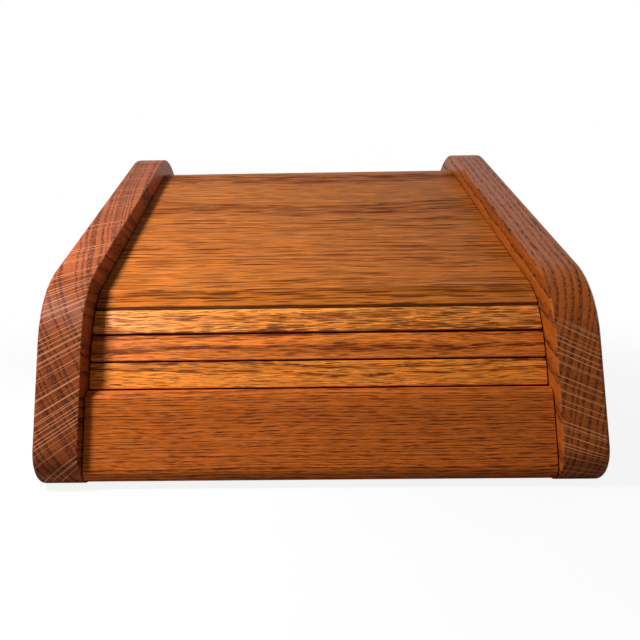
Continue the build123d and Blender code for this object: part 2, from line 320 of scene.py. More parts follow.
@dataclass(frozen=True)
class StainedOak:
    """Stained and lacquered red oak, sawn at one place of the log.

    The stain gathers in the open pores, which gives the eye dark dashes along the fibres, and the
    lacquer a low satin shine. Real pores are up to 0.3 mm wide. They are drawn 0.3 to 1.2 mm wide,
    because narrower ones don't show in the render.
    """

    name: str
    grain: Grain
    heart: Pair  # place of the log's heart across the grain
    board: Pair  # middle of the board across the grain
    summer: str
    spring: str
    pore: str
    ray: str
    tilt: float = 0.0  # fibres that run front to back rise by this many degrees
    ring_width: float = 4.4
    uneven: float = 2.4
    waver: float = 6.0
    pore_width: float = 0.62  # spacing of the pores across the grain
    pore_run: float = 12.0
    summer_bore: float = 0.21  # radius of the pores in the summer wood, as a share of their spacing
    ray_gap: float = 2.9
    ray_run: float = 30.0
    fibre_width: float = 0.5
    fibre_run: float = 30.0
    shift: float = 0.0  # slides the board along the log
    spring_share: float = 0.75
    pore_share: float = 0.9
    ray_share: float = 0.7  # on end grain
    bold_ray_share: float = 0.0  # the widest rays alone, on long grain
    end_from: float = 0.62  # cosine between face and fibres from which a face counts as end grain
    end_full: float = 0.78
    flat_from: float = 0.5  # how far a face looks sideways where its bold rays start to fade
    flat_full: float = 0.85
    end_stain: float = 0.0  # how much more stain the end grain takes
    # Painted shade in the gaps between lid pieces: joint faces that lie below the show face are drawn
    # darker
    joint_lean: float = 0.0  # lean of the show face, out of which the depth of the joints' painted shade is measured
    joint_shade_level: float = -1000.0  # level out of the face below which joint faces get painted shade
    joint_shade_fade: float = 0.9
    painted_joint_shade: float = 0.88
    streak: str = "#7a3c17"
    streak_share: float = 0.55
    streak_from: float = 0.48
    streak_full: float = 0.72
    fibre_from: float = 0.36
    fibre_full: float = 0.64
    fibre_dark: float = 0.72
    fibre_light: float = 1.22
    dent_depth: float = 0.12
    dent_strength: float = 0.35
    roughness: float = 0.42
    pore_roughness: float = 0.2  # how much rougher the pores are
    gloss: float = 0.14
    ior: float = 1.5

    def _colour(self, add: Adder, wood: Outputs, shade: Node) -> bpy.types.NodeSocket:
        """Add the nodes of the stained wood's colour, without its rays.

        Args:
            add: adds nodes to the material.
            wood: the oak's inner pattern.
            shade: how light it is.

        Returns:
            The colour.
        """
        spring_part = add("ShaderNodeMath", wood["Spring"], self.spring_share, operation="MULTIPLY")
        streaks = (self.streak_from, self.streak_full, 0.0, self.streak_share)
        streak_part = add("ShaderNodeMapRange", wood["Streak"], *streaks, interpolation_type="SMOOTHSTEP")
        colour = linear(self.summer)
        for share, stain in ((spring_part, self.spring), (streak_part, self.streak)):
            mix = {0: share, 6: colour, 7: linear(stain)}
            colour = add("ShaderNodeMix", mix, data_type="RGBA").outputs[2]
        fibred = add("ShaderNodeHueSaturation", {"Color": colour, "Value": shade})
        pore_part = add("ShaderNodeMath", wood["Pore"], self.pore_share, operation="MULTIPLY")
        mix = {0: pore_part, 6: fibred, 7: linear(self.pore)}
        return add("ShaderNodeMix", mix, data_type="RGBA").outputs[2]

    def _shade(self, add: Adder, wood: Outputs, spot: Outputs, end_grain: Node) -> Node:
        """Add the nodes of light and dark: fibres, painted shade in the joint gaps, and end grain that
        drinks more stain.

        Args:
            add: adds nodes to the material.
            wood: the oak's inner pattern.
            spot: the place on the box.
            end_grain: one on end grain.

        Returns:
            The node whose value is how light the wood is.
        """
        fibres = (self.fibre_from, self.fibre_full, self.fibre_dark, self.fibre_light)
        fibre_light = add("ShaderNodeMapRange", wood["Fibre"], *fibres)
        # Painted shade: faces in the joint gaps, deeper than the joint level below the show face, are
        # darkened
        lean = math.radians(self.joint_lean)
        face_way = (0.0, -math.cos(lean), math.sin(lean))
        height = add("ShaderNodeVectorMath", spot["Object"], face_way, operation="DOT_PRODUCT")
        level, fade = self.joint_shade_level * MM, self.joint_shade_fade * MM
        depth = (level, level - fade, 1.0, 1.0 - self.painted_joint_shade)
        joint = add(
            "ShaderNodeMapRange", height.outputs["Value"], *depth, interpolation_type="SMOOTHSTEP"
        )
        lit = add("ShaderNodeMath", fibre_light, joint, operation="MULTIPLY")
        soaked = add("ShaderNodeMath", end_grain, -self.end_stain, 1.0, operation="MULTIPLY_ADD")
        return add("ShaderNodeMath", lit, soaked, operation="MULTIPLY")

    def _end_grain(self, add: Adder, spot: Outputs) -> Node:
        """Add the nodes that tell end grain from long grain.

        Args:
            add: adds nodes to the material.
            spot: the place on the box.

        Returns:
            The node whose value is one on end grain.
        """
        tilt = math.radians(self.tilt)
        turned = self.grain is Grain.DEPTH
        fibres = (0.0, math.cos(tilt), math.sin(tilt)) if turned else (1.0, 0.0, 0.0)
        facing = add("ShaderNodeVectorMath", spot["Normal"], fibres, operation="DOT_PRODUCT")
        angle = add("ShaderNodeMath", facing.outputs["Value"], operation="ABSOLUTE")
        return add(
            "ShaderNodeMapRange", angle, self.end_from, self.end_full, interpolation_type="SMOOTHSTEP"
        )

    def _rays(self, add: Adder, wood: Outputs, spot: Outputs, end_grain: Node) -> Node:
        """Add the nodes of the rays: all of them on end grain, the bold ones on the rounded rims.

        Args:
            add: adds nodes to the material.
            wood: the oak's inner pattern.
            spot: the place on the box.
            end_grain: one on end grain.

        Returns:
            The node whose value is the rays' share in the colour.
        """
        all_rays = add("ShaderNodeMath", wood["Ray"], self.ray_share, operation="MULTIPLY")
        # On a board's flat sides the rays are cut lengthwise, and hardly show
        sideways = add("ShaderNodeSeparateXYZ", spot["Normal"]).outputs["X"]
        flatness = add("ShaderNodeMath", sideways, operation="ABSOLUTE")
        rim = (self.flat_from, self.flat_full, self.bold_ray_share, 0.0)
        rim_share = add("ShaderNodeMapRange", flatness, *rim)
        bold_rays = add("ShaderNodeMath", wood["Bold Ray"], rim_share, operation="MULTIPLY")
        return add("ShaderNodeMix", {0: end_grain, 2: bold_rays, 3: all_rays})

    def _wood(self, add: Adder, spot: Outputs) -> Outputs:
        """Add the nodes that lay the board into its log and give the log's inner pattern.

        Args:
            add: adds nodes to the material.
            spot: the place on the box.

        Returns:
            The pattern's outputs.
        """
        first, second = self.heart
        turned = self.grain is Grain.DEPTH
        place = add(
            "ShaderNodeMapping",
            {
                "Vector": spot["Object"],
                "Location": (self.shift, first if turned else -first, -second),
                "Rotation": (-math.radians(self.tilt), 0.0, -math.pi / 2 if turned else 0.0),
                "Scale": (PER_METRE,) * 3,
            },
        )
        return add(
            "ShaderNodeGroup",
            {
                "Place": place,
                "Sway": (0.0, self.waver, self.waver),
                "Pore Size": (self.pore_run, self.pore_width, self.pore_width),
                "Fibre Size": (self.fibre_run, self.fibre_width, self.fibre_width),
                "Ring Width": self.ring_width,
                "Uneven": self.uneven,
                "Summer Bore": self.summer_bore,
                "Ray Gap": self.ray_gap,
                "Ray Run": self.ray_run,
                "Heart Distance": math.dist(self.heart, self.board),
            },
            node_tree=OakFigure().build(),
        ).outputs

    def build(self) -> bpy.types.Material:
        """Make the material.

        Returns:
            The new material.
        """
        material, add = start_material(self.name)
        spot = add("ShaderNodeTexCoord").outputs
        wood = self._wood(add, spot)
        end_grain = self._end_grain(add, spot)
        colour = self._colour(add, wood, self._shade(add, wood, spot, end_grain))
        mix = {0: self._rays(add, wood, spot, end_grain), 6: colour, 7: linear(self.ray)}
        rayed = add("ShaderNodeMix", mix, data_type="RGBA").outputs[2]
        # Lacquer bridges most pores, so they are shallow dents a little duller than the rest
        height = add("ShaderNodeMath", wood["Fibre"], wood["Pore"], operation="SUBTRACT")
        bump = add(
            "ShaderNodeBump",
            {"Height": height, "Strength": self.dent_strength, "Distance": self.dent_depth * MM},
        )
        rough = self.roughness
        dull = add("ShaderNodeMapRange", wood["Pore"], 0.0, 1.0, rough, rough + self.pore_roughness)
        shader = add(
            "ShaderNodeBsdfPrincipled",
            {
                "Base Color": rayed,
                "Roughness": dull,
                "Normal": bump,
                "IOR": self.ior,
                "Specular IOR Level": self.gloss,
            },
        )
        add("ShaderNodeOutputMaterial", {"Surface": shader})
        return material


@dataclass(frozen=True)
class BareBeech:
    """Bare beech for dowels: pale and even, with the short brown flecks that tell it from oak."""

    name: str = "bare_beech"
    ground: str = "#d9b184"
    fleck: str = "#a8713f"
    fleck_run: float = 2.6
    fleck_width: float = 0.5
    fleck_from: float = 0.34  # edge of a fleck, as a share of the flecks' spacing
    fleck_full: float = 0.2
    roughness: float = 0.6

    def build(self) -> bpy.types.Material:
        """Make the material.

        Returns:
            The new material.
        """
        material, add = start_material(self.name)
        spot = add("ShaderNodeTexCoord").outputs["Object"]
        sizes = (self.fleck_run, self.fleck_width, self.fleck_width)
        per_fleck = tuple(PER_METRE / size for size in sizes)
        cell = add("ShaderNodeMapping", {"Vector": spot, "Scale": per_fleck})
        flecks = add("ShaderNodeTexVoronoi", {"Vector": cell, "Scale": 1.0}).outputs["Distance"]
        edge = add("ShaderNodeMapRange", flecks, self.fleck_from, self.fleck_full)
        mix = {0: edge, 6: linear(self.ground), 7: linear(self.fleck)}
        colour = add("ShaderNodeMix", mix, data_type="RGBA").outputs[2]
        shader = add("ShaderNodeBsdfPrincipled", {"Base Color": colour, "Roughness": self.roughness})
        add("ShaderNodeOutputMaterial", {"Surface": shader})
        return material


@dataclass(frozen=True)
class ZincSteel:
    """Yellow zinc plated steel: a soft metal shine with the faint clouds of the plating bath."""

    name: str = "yellow_zinc_plated_steel"
    bright: str = "#cdbb8e"
    cloudy: str = "#b7a27a"
    cloud_size: float = 2.5
    roughness: float = 0.34

    def build(self) -> bpy.types.Material:
        """Make the material.

        Returns:
            The new material.
        """
        material, add = start_material(self.name)
        spot = add("ShaderNodeTexCoord").outputs["Object"]
        clouds = add("ShaderNodeTexNoise", {"Vector": spot, "Scale": PER_METRE / self.cloud_size})
        mix = {0: clouds.outputs["Fac"], 6: linear(self.bright), 7: linear(self.cloudy)}
        colour = add("ShaderNodeMix", mix, data_type="RGBA").outputs[2]
        shader = add(
            "ShaderNodeBsdfPrincipled",
            {"Base Color": colour, "Metallic": 1.0, "Roughness": self.roughness},
        )
        add("ShaderNodeOutputMaterial", {"Surface": shader})
        return material


class Workshop:
    """Holds a geometry tree while it is built, and keeps what it makes as plain meshes."""

    def __init__(self, name: str, values: dict[str, object]) -> None:
        """Start the tree.

        Args:
            name: the tree's name.
            values: a value for each of its named inputs, which tells the input's type.
        """
        self.tree = bpy.data.node_groups.new(name, "GeometryNodeTree")
        for label, value in values.items():
            self.tree.interface.new_socket(label, in_out="INPUT", socket_type=SOCKETS[type(value)])
        self.tree.interface.new_socket("Geometry", in_out="OUTPUT", socket_type="NodeSocketGeometry")
        self.add = partial(add_node, self.tree)
        self.given = self.add("NodeGroupInput").outputs

    def turn(self, radius: str, length: str, sides: int, rings: int, share: Node) -> Node:
        """Add the nodes that turn an upright rod down to a share of its radius.

        Args:
            radius: name of the tree's input for the full radius.
            length: name of its input for the length.
            sides: number of sides round the rod.
            rings: number of steps along it.
            share: the share of the radius that is kept, which differs from place to place.

        Returns:
            The node that gives the turned rod.
        """
        shares = self.add("ShaderNodeCombineXYZ", {"X": share, "Y": share, "Z": 1.0})
        place = self.add("GeometryNodeInputPosition")
        turned = self.add("ShaderNodeVectorMath", place, shares, operation="MULTIPLY")
        size = {"Radius": self.given[radius], "Depth": self.given[length]}
        rod = self.add("GeometryNodeMeshCylinder", size | {"Vertices": sides, "Side Segments": rings})
        return self.add("GeometryNodeSetPosition", {"Geometry": rod, "Position": turned})

    def close(self, shape: Node) -> None:
        """End the tree with real geometry that wears its finish.

        Args:
            shape: what the tree has made.
        """
        real = self.add("GeometryNodeRealizeInstances", shape)
        worn = self.add("GeometryNodeSetMaterial", {"Geometry": real, "Material": self.given["Finish"]})
        self.add("NodeGroupOutput", worn)

    def make(self, name: str, values: dict[str, object], node: str, body: str) -> None:
        """Run the tree and put the piece in the place of its CAD node.

        Args:
            name: name of the new piece.
            values: a value for each of the tree's inputs.
            node: the CAD node that the piece stands for.
            body: the body that carries it.
        """
        piece = put_in_scene(name, bpy.data.meshes.new(name))
        modifier = piece.modifiers.new("shape", "NODES")
        modifier.node_group = self.tree
        for socket in self.tree.interface.items_tree:
            if socket.in_out == "INPUT":
                modifier[socket.identifier] = values[socket.name]
        graph = bpy.context.evaluated_depsgraph_get()
        shape = bpy.data.meshes.new_from_object(piece.evaluated_get(graph))
        piece.modifiers.clear()
        piece.data = shape
        shape.name = name
        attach(piece, body)
        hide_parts(node)
        LOG.info("%s has %d faces and stands for %s", name, len(shape.polygons), node)


def dress(node: str, finish: StainedOak) -> None:
    """Put one finish on a whole CAD node.

    Args:
        node: the CAD node's name.
        finish: its finish.
    """
    slots = frame["nodes"][node].data.materials
    slots.clear()
    slots.append(finish.build())
    LOG.info("%s wears %s", node, finish.name)


@dataclass
class SideBoards:
    """The two thick side boards with their rounded rims."""

    # The left board is sawn across its front rim, the right one along its slope
    left_tilt: float = -19.0
    left_heart: Pair = (216.0, 205.0)
    left_middle: Pair = (-134.0, 8.0)
    right_tilt: float = 20.0
    right_heart: Pair = (534.0, -33.0)
    right_middle: Pair = (134.0, 107.0)

    def build(self) -> None:
        """Dress both boards."""
        common = dict(
            grain=Grain.DEPTH,
            pore="#3c180e",
            ray="#dc9a72",
            pore_width=1.0,
            pore_run=7.0,
            waver=3.0,
            ray_gap=2.0,
            ray_run=60.0,
        )
        left = StainedOak(
            "red_oak_left_side",
            heart=self.left_heart,
            board=self.left_middle,
            tilt=self.left_tilt,
            summer="#994b24",
            spring="#69331a",
            streak="#723718",
            bold_ray_share=0.75,
            ray_share=0.62,
            end_stain=0.34,
            gloss=0.06,
            **common,
        )
        right = StainedOak(
            "red_oak_right_side",
            heart=self.right_heart,
            board=self.right_middle,
            tilt=self.right_tilt,
            summer="#a7541a",
            spring="#7a3814",
            streak="#743611",
            ring_width=3.6,
            uneven=1.2,
            ray_share=0.78,
            end_stain=0.14,
            roughness=0.38,
            gloss=0.11,
            **common,
        )
        dress("left_side", left)
        dress("right_side", right)


@dataclass(frozen=True)
class SlatSection:
    """Outline of a slat across its length, in millimetres.

    The first number of a point runs down the slat from its upper joint, the second out of its face.
    """

    pitch: float = 14.7
    thickness: float = 8.0
    face: float = 3.0  # show face above the joint centres
    bead_radius: float = 1.9
    socket_radius: float = 2.15
    lip_reach: float = 1.2
    joint_gap: float = 0.7
    neck_depth: float = 0.5
    neck_height: float = 1.1
    neck_length: float = 0.4
    relief_angle: float = 35.0
    ease: float = 0.6
    arc_steps: int = 28
    ease_steps: int = 6

    def arc(self, centre: Pair, radius: float, start: float, end: float, steps: int) -> list[Pair]:
        """Place points along an arc.

        Args:
            centre: centre of the arc.
            radius: its radius.
            start: angle of the first point, in radians.
            end: angle of the last point.
            steps: number of chords.

        Returns:
            The points, both ends among them.
        """
        angles = (start + (end - start) * step / steps for step in range(steps + 1))
        return [
            (centre[0] + radius * math.cos(angle), centre[1] + radius * math.sin(angle))
            for angle in angles
        ]

    def points(self) -> list[Pair]:
        """Work out the outline.

        Returns:
            All its points in order.
        """
        under = self.face - self.thickness
        shoulder = self.lip_reach + self.joint_gap
        neck_end = shoulder + self.neck_length
        relief = (-under - self.neck_depth) * math.tan(math.radians(self.relief_angle))
        foot = self.pitch + self.lip_reach
        bead_low = -math.asin(self.neck_depth / self.bead_radius)
        bead_high = math.asin(self.neck_height / self.bead_radius)
        lip_angle = math.acos(self.lip_reach / self.socket_radius)
        flat = self.face - self.ease
        quarter = math.pi / 2
        return [
            (neck_end + relief, under),
            (neck_end, -self.neck_depth),
            *self.arc((0.0, 0.0), self.bead_radius, bead_low, bead_high - 2 * math.pi, self.arc_steps),
            (shoulder, self.neck_height),
            *self.arc((shoulder + self.ease, flat), self.ease, 2 * quarter, quarter, self.ease_steps),
            *self.arc((foot - self.ease, flat), self.ease, quarter, 0.0, self.ease_steps),
            *self.arc(
                (self.pitch, 0.0), self.socket_radius, lip_angle, 2 * math.pi - lip_angle, self.arc_steps
            ),
            (foot, under),
        ]


@dataclass
class Slats:
    """The three narrow slats round the bend, each swept along its length and turned at its joint."""

    section: SlatSection = SlatSection()
    length: float = 242.9
    end_ease: float = 0.7
    end_shrink: float = 0.03
    leans: Triple = (36.0, 26.0, 20.5)
    joint_depth: float = 0.25  # joints get painted shade from this far below the face

    def _sweep(self, shop: Workshop) -> None:
        """Add the nodes that sweep the section between eased ends and turn it into place.

        Args:
            shop: holds the slats' tree.
        """
        add, given = shop.add, shop.given
        # Four stations along the slat, counted from 0: its two ends, and where their easing starts
        line = add("GeometryNodeCurvePrimitiveLine", {"End": (1.0, 0.0, 0.0)})
        stations = add("GeometryNodeResampleCurve", {"Curve": line, "Count": 4})
        index = add("GeometryNodeInputIndex")
        side = add("ShaderNodeMath", index, 1.5, operation="SUBTRACT")
        way = add("ShaderNodeMath", side, operation="SIGN")
        far = add("ShaderNodeMath", side, operation="ABSOLUTE")
        at_end = add("ShaderNodeMath", far, 1.0, operation="GREATER_THAN")
        inner = add("ShaderNodeMath", 1.0, at_end, operation="SUBTRACT")
        half = add("ShaderNodeMath", given["Length"], 0.5, operation="MULTIPLY")
        set_in = add("ShaderNodeMath", inner, given["End Ease"], operation="MULTIPLY")
        reach = add("ShaderNodeMath", half, set_in, operation="SUBTRACT")
        across = add("ShaderNodeMath", way, reach, operation="MULTIPLY")
        spot = add("ShaderNodeCombineXYZ", {"X": across})
        placed = add("GeometryNodeSetPosition", {"Geometry": stations, "Position": spot})
        upright = add("GeometryNodeSetCurveNormal", {"Curve": placed}, mode="Z_UP")
        shrink = add("ShaderNodeMath", at_end, given["End Shrink"], operation="MULTIPLY")
        scale = add("ShaderNodeMath", 1.0, shrink, operation="SUBTRACT")
        section = add("GeometryNodeObjectInfo", {"Object": given["Section"]}).outputs["Geometry"]
        swept = add(
            "GeometryNodeCurveToMesh",
            {"Curve": upright, "Profile Curve": section, "Scale": scale, "Fill Caps": True},
        )
        turn = add("ShaderNodeMath", given["Lean"], -1.0, operation="MULTIPLY")
        turned = add("ShaderNodeCombineXYZ", {"X": turn})
        set_up = add(
            "GeometryNodeTransform",
            {"Geometry": swept, "Translation": given["Pivot"], "Rotation": turned},
        )
        shop.close(set_up)

    def _outline(self) -> bpy.types.Object:
        """Draw the section as a closed curve, in metres, with its way out of the face first.

        Returns:
            The curve, which is removed once the slats are made.
        """
        curve = bpy.data.curves.new("slat_section", "CURVE")
        curve.dimensions = "3D"
        line = curve.splines.new("POLY")
        points = self.section.points()
        line.points.add(len(points) - 1)
        for spot, (down, out) in zip(line.points, points):
            spot.co = (out * MM, down * MM, 0.0, 1.0)
        line.use_cyclic_u = True
        return put_in_scene("slat_section", curve)

    def build(self, finishes: tuple[StainedOak, ...]) -> None:
        """Make the three slats.

        Args:
            finishes: the finish of each slat, from the top.
        """
        outline = self._outline()
        common = {
            "Section": outline,
            "Length": self.length * MM,
            "End Ease": self.end_ease * MM,
            "End Shrink": self.end_shrink,
        }
        slats = {
            f"slat_{number}": common
            | {"Pivot": pivot(f"slat_{number}"), "Lean": math.radians(lean), "Finish": finish.build()}
            for number, (lean, finish) in enumerate(zip(self.leans, finishes), start=1)
        }
        shop = Workshop("slat_sweep", slats["slat_1"])
        self._sweep(shop)
        for node, values in slats.items():
            shop.make(f"oak_{node}", values, node, body=node)
        bpy.data.objects.remove(outline)


@dataclass
class Lid:
    """Panel, slats and lead rail of the sliding lid."""

    rail_lean: float = 19.0
    slat_tones: tuple[tuple[str, str, Pair, float], ...] = (
        ("#e8903c", "#c86a26", (-30.0, -34.0), 0.0),
        ("#d07029", "#ad5219", (-60.0, 0.0), 90.0),
        ("#e18430", "#c1631f", (-50.0, -25.0), 200.0),
    )

    def _joint_level(self, body: str, lean: float, below: float) -> float:
        """Find the level below which a lid piece's joints get painted shade, out along the normal of its
        face.

        Args:
            body: the piece's body.
            lean: lean of its face from the upright, in degrees.
            below: height of the level above the joint centre, in millimetres.

        Returns:
            The level from the frame's origin, in millimetres.
        """
        _, back, up = pivot(body)
        angle = math.radians(lean)
        return PER_METRE * (up * math.sin(angle) - back * math.cos(angle)) + below

    def _slat(self, number: int, lean: float, top: float) -> StainedOak:
        """Choose the finish of a slat.

        Args:
            number: its number from the top.
            lean: lean of its face from the upright, in degrees.
            top: height above the joint centre below which its joints get painted shade, in millimetres.

        Returns:
            The finish.
        """
        summer, spring, heart, shift = self.slat_tones[number - 1]
        return StainedOak(
            f"red_oak_slat_{number}",
            Grain.WIDTH,
            heart=heart,
            board=(-128.0, 68.0),
            summer=summer,
            spring=spring,
            pore="#5a2209",
            ray="#c98a4e",
            ring_width=4.2,
            uneven=3.5,
            pore_run=13.0,
            pore_width=0.55,
            summer_bore=0.29,
            fibre_width=0.38,
            fibre_run=16.0,
            fibre_dark=0.42,
            fibre_light=1.62,
            spring_share=0.55,
            ray_share=0.1,
            gloss=0.1,
            shift=shift,
            # Painted shade in the joint gaps between the slats
            joint_lean=lean,
            joint_shade_level=self._joint_level(f"slat_{number}", lean, top),
        )

    def build(self) -> None:
        """Dress the panel and the rail, and make the slats."""
        panel = StainedOak(
            "red_oak_panel",
            Grain.WIDTH,
            heart=(120.0, -60.0),
            board=(20.0, 130.0),
            summer="#ad6124",
            spring="#904b19",
            pore="#55260b",
            ray="#b97833",
            ring_width=2.4,
            uneven=3.2,
            pore_run=36.0,
            pore_width=1.3,
            pore_share=0.9,
            fibre_width=1.2,
            fibre_run=26.0,
            fibre_dark=0.5,
            fibre_light=1.52,
            spring_share=0.45,
            ray_share=0.1,
            streak="#78400f",
            streak_share=0.3,
            streak_from=0.52,
            streak_full=0.66,
            summer_bore=0.22,
            gloss=0.03,
        )
        dress("lid_panel", panel)
        slats = Slats()
        top = slats.section.face - slats.joint_depth
        slats.build(
            tuple(self._slat(number, lean, top) for number, lean in enumerate(slats.leans, start=1))
        )
        rail = StainedOak(
            "red_oak_lead_rail",
            Grain.WIDTH,
            heart=(-120.0, 200.0),
            board=(-150.0, 28.0),
            summer="#b95f22",
            spring="#9c4815",
            pore="#4f1d08",
            ray="#b87340",
            ring_width=1.6,
            uneven=1.4,
            pore_run=12.0,
            pore_width=0.6,
            summer_bore=0.24,
            pore_share=0.8,
            fibre_width=0.36,
            fibre_run=12.0,
            fibre_dark=0.6,
            fibre_light=1.4,
            streak_share=0.3,
            ray_share=0.1,
            gloss=0.06,
            # Painted shade in the joint gap above the rail
            joint_lean=self.rail_lean,
            joint_shade_level=self._joint_level("rail", self.rail_lean, top),
        )
        dress("lead_rail", rail)


@dataclass
class StopScrews:
    """The two slotted screws that hold the stop blocks under the panel, heads down."""

    head_radius: float = 3.25
    head_height: float = 2.0
    head_sides: int = 48
    head_rings: int = 8
    dome: float = 0.6  # how far the head draws in at its outer face, as a share of its curve
    dome_end: float = 0.2  # level at which it is full, in shares of its height above its middle
    slot_width: float = 0.9
    slot_depth: float = 1.0
    shank_radius: float = 1.68
    shank_sides: int = 32
    shank_rings: int = 120
    shank_overlap: float = 0.25  # length of the shank inside the head
    thread_depth: float = 0.42
    thread_pitch: float = 1.35
    thread_start: float = 4.5
    thread_flank: Pair = (0.08, 0.42)  # where a flank starts and ends, of the pitch
    tip: float = 3.0
    tip_share: float = 0.12  # radius left at the tip, as a share of the shank's
    length: float = 13.8
    rise: float = 20.0  # the screws lean back with the lid's slope
    cad_head_radius: float = 3.4

    def _thread(self, shop: Workshop) -> Node:
        """Add the nodes of the shank, a rod whose radius follows the thread and the tip.

        Args:
            shop: holds the screws' tree.

        Returns:
            The node that gives the shank in its place above the head.
        """
        add, given = shop.add, shop.given
        part = add("ShaderNodeSeparateXYZ", add("GeometryNodeInputPosition")).outputs
        half = add("ShaderNodeMath", given["Length"], 0.5, operation="MULTIPLY")
        along = add("ShaderNodeMath", part["Z"], half, operation="ADD")
        turn = add("ShaderNodeMath", part["Y"], part["X"], operation="ARCTAN2")
        turn_share = add("ShaderNodeMath", turn, -0.5 / math.pi, operation="MULTIPLY")
        climb = add("ShaderNodeMath", along, given["Thread Pitch"], operation="DIVIDE")
        phase = add("ShaderNodeMath", climb, turn_share, operation="ADD")
        crest = add("ShaderNodeMath", phase, 0.5, operation="PINGPONG")
        foot, top = self.thread_flank
        cut = add("ShaderNodeMapRange", crest, foot, top)
        started = add("ShaderNodeMath", along, given["Thread Start"], operation="GREATER_THAN")
        depth = add("ShaderNodeMath", cut, started, operation="MULTIPLY")
        cut_depth = add("ShaderNodeMath", depth, given["Thread Depth"], operation="MULTIPLY")
        body = add("ShaderNodeMath", given["Shank Radius"], cut_depth, operation="SUBTRACT")
        left = add("ShaderNodeMath", given["Length"], along, operation="SUBTRACT")
        taper = add("ShaderNodeMapRange", left, 0.0, given["Tip"], self.tip_share, 1.0)
        radius = add("ShaderNodeMath", body, taper, operation="MULTIPLY")
        share = add("ShaderNodeMath", radius, given["Shank Radius"], operation="DIVIDE")
        cut_rod = shop.turn("Shank Radius", "Length", self.shank_sides, self.shank_rings, share)
        lift = add("ShaderNodeMath", half, given["Head Height"], operation="ADD")
        sunk = add("ShaderNodeMath", lift, given["Shank Overlap"], operation="SUBTRACT")
        up = add("ShaderNodeCombineXYZ", {"Z": sunk})
        return add("GeometryNodeTransform", {"Geometry": cut_rod, "Translation": up})

    def _head(self, shop: Workshop) -> Node:
        """Add the nodes of the domed head and its slot.

        Args:
            shop: holds the screws' tree.

        Returns:
            The node that gives the head.
        """
        add, given = shop.add, shop.given
        height = add("ShaderNodeSeparateXYZ", add("GeometryNodeInputPosition")).outputs["Z"]
        level = add("ShaderNodeMath", height, given["Head Height"], operation="DIVIDE")
        inwards = add("ShaderNodeMapRange", level, -0.5, self.dome_end, given["Dome"], 0.0)
        square = add("ShaderNodeMath", inwards, 2.0, operation="POWER")
        rest = add("ShaderNodeMath", 1.0, square, operation="SUBTRACT")
        share = add("ShaderNodeMath", rest, operation="SQRT")
        domed = shop.turn("Head Radius", "Head Height", self.head_sides, self.head_rings, share)
        # A bar cuts the slot: longer than the head is wide, and with half of its depth in the head
        bar_run = add("ShaderNodeMath", given["Head Radius"], 3.0, operation="MULTIPLY")
        bar_depth = add("ShaderNodeMath", given["Slot Depth"], 2.0, operation="MULTIPLY")
        bar_size = add("ShaderNodeCombineXYZ", {"X": bar_run, "Y": given["Slot Width"], "Z": bar_depth})
        bar = add("GeometryNodeMeshCube", {"Size": bar_size})
        half = add("ShaderNodeMath", given["Head Height"], 0.5, operation="MULTIPLY")
        up = add("ShaderNodeCombineXYZ", {"Z": half})
        down = add("ShaderNodeVectorMath", {0: up, "Scale": -1.0}, operation="SCALE")
        lowered = add("GeometryNodeTransform", {"Geometry": bar, "Translation": down})
        slotted = add(
            "GeometryNodeMeshBoolean",
            {"Mesh 1": domed, "Mesh 2": lowered},
            operation="DIFFERENCE",
            solver="MANIFOLD",
        )
        return add("GeometryNodeTransform", {"Geometry": slotted, "Translation": up})

    def build(self, finish: bpy.types.Material) -> None:
        """Make both screws as one piece.

        Args:
            finish: the screws' metal.
        """
        low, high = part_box("stop_screws")
        angle = math.radians(self.rise)
        reach = self.cad_head_radius * MM
        across = high.x - reach
        back = high.y - reach * math.cos(angle)
        height = low.z + reach * math.sin(angle)
        lengths = ("head_radius", "head_height", "slot_width", "slot_depth", "shank_radius", "length")
        lengths += ("shank_overlap", "thread_depth", "thread_pitch", "thread_start", "tip")
        values = {name.replace("_", " ").title(): getattr(self, name) * MM for name in lengths}
        values |= {
            "Dome": self.dome,
            "Rise": angle,
            "First Place": (-across, back, height),
            "Last Place": (across, back, height),
            "Finish": finish,
        }
        shop = Workshop("slotted_screws", values)
        add, given = shop.add, shop.given
        screw = add("GeometryNodeJoinGeometry", [self._head(shop), self._thread(shop)])
        spots = add(
            "GeometryNodeMeshLine",
            {"Count": 2, "Start Location": given["First Place"], "Offset": given["Last Place"]},
            mode="END_POINTS",
        )
        turned = add("ShaderNodeCombineXYZ", {"X": given["Rise"]})
        copies = add(
            "GeometryNodeInstanceOnPoints", {"Points": spots, "Instance": screw, "Rotation": turned}
        )
        shop.close(copies)
        shop.make("slotted_stop_screws", values, "stop_screws", body="lid")


